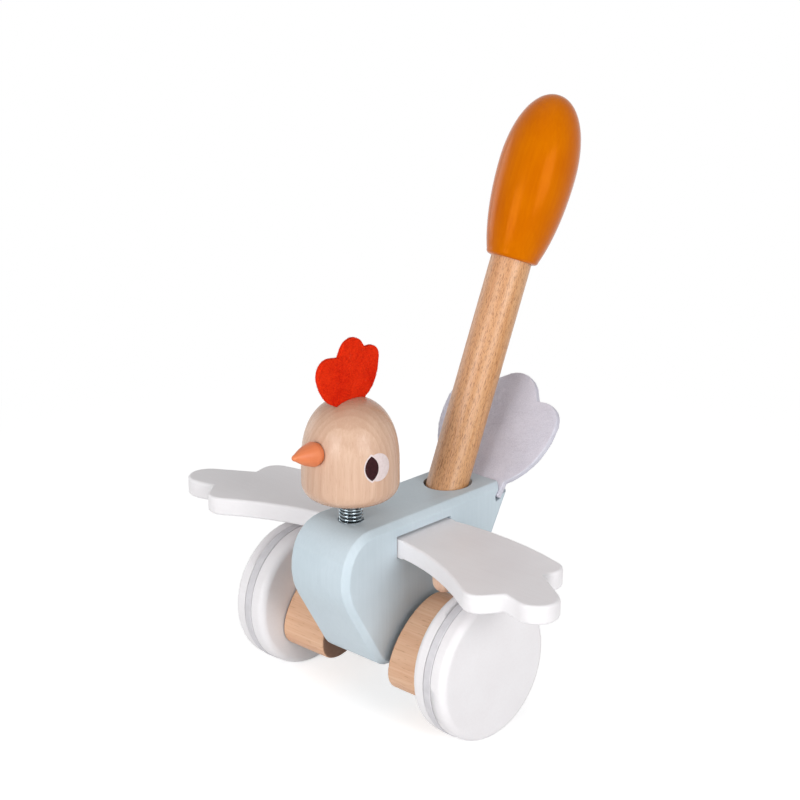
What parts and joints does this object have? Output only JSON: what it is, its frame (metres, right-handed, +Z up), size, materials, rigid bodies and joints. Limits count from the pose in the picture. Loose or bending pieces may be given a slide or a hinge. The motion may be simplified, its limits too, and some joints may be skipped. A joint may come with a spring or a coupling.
{
  "type": "push-along chicken toy",
  "caption": "Wooden push-along chicken on two cam wheels, with hinged flapping wings, a head on a spring neck, a felt comb and tail, and a push stick with an egg-shaped knob.",
  "frame": {"origin": "centre of the toy's footprint box, on the floor under the tyres", "axes": "+Z up; the bird faces -Y; +X is the bird's own left side, and the toy is symmetric about the plane X = 0, apart from the spring's winding and the lean of the tail's middle lobe"},
  "size_m": [0.2574, 0.2051, 0.3021],
  "materials": {
    "beech": "satin",
    "blue_paint": "satin",
    "white_paint": "satin",
    "orange_lacquer": "gloss",
    "coral_lacquer": "satin",
    "red_felt": "matte",
    "lilac_felt": "matte",
    "grey_silicone": "matte",
    "steel": "brushed"
  },
  "bodies": {
    "toy_body": {"body_block": "blue_paint", "stick": "beech", "knob": "orange_lacquer", "tail": "lilac_felt", "left_hinge_pin": "steel", "right_hinge_pin": "steel", "rear_wheel_pin": "steel"},
    "wheelset": {"axle": "steel", "left_wheel": "white_paint", "right_wheel": "white_paint", "left_tyre": "grey_silicone", "right_tyre": "grey_silicone", "left_cam": "beech", "right_cam": "beech", "left_spacer": "steel", "right_spacer": "steel"},
    "left_wing_body": {"left_wing": "white_paint", "left_wing_peg": "beech"},
    "right_wing_body": {"right_wing": "white_paint", "right_wing_peg": "beech"},
    "neck": {"neck_spring": "steel"},
    "head_body": {"head": "beech", "beak": "coral_lacquer", "comb": "red_felt"},
    "rear_wheel_body": {"rear_wheel": "beech"}
  },
  "joints": [
    {"name": "wheels_turn", "type": "hinge", "parent": "toy_body", "child": "wheelset", "pos_m": [0, -0.03756, 0.03875], "axis": [1, 0, 0], "continuous": true},
    {"name": "left_wing_flap", "type": "hinge", "parent": "toy_body", "child": "left_wing_body", "pos_m": [0.0182, -0.03756, 0.0921], "axis": [0, -1, 0], "range_deg": [-9, 18]},
    {"name": "right_wing_flap", "type": "hinge", "parent": "toy_body", "child": "right_wing_body", "pos_m": [-0.0182, -0.03756, 0.0921], "axis": [0, 1, 0], "range_deg": [-9, 18]},
    {"name": "head_nod", "type": "hinge", "parent": "toy_body", "child": "neck", "pos_m": [0, -0.06296, 0.1124], "axis": [1, 0, 0], "range_deg": [-20, 20], "stiffness_Nm_per_rad": 0.28, "deforming": ["neck_spring"]},
    {"name": "head_sway", "type": "hinge", "parent": "neck", "child": "head_body", "pos_m": [0, -0.06296, 0.1124], "axis": [0, 1, 0], "range_deg": [-20, 20], "stiffness_Nm_per_rad": 0.28},
    {"name": "rear_wheel_turn", "type": "hinge", "parent": "toy_body", "child": "rear_wheel_body", "pos_m": [0, 0.00494, 0.01295], "axis": [1, 0, 0], "continuous": true}
  ]
}
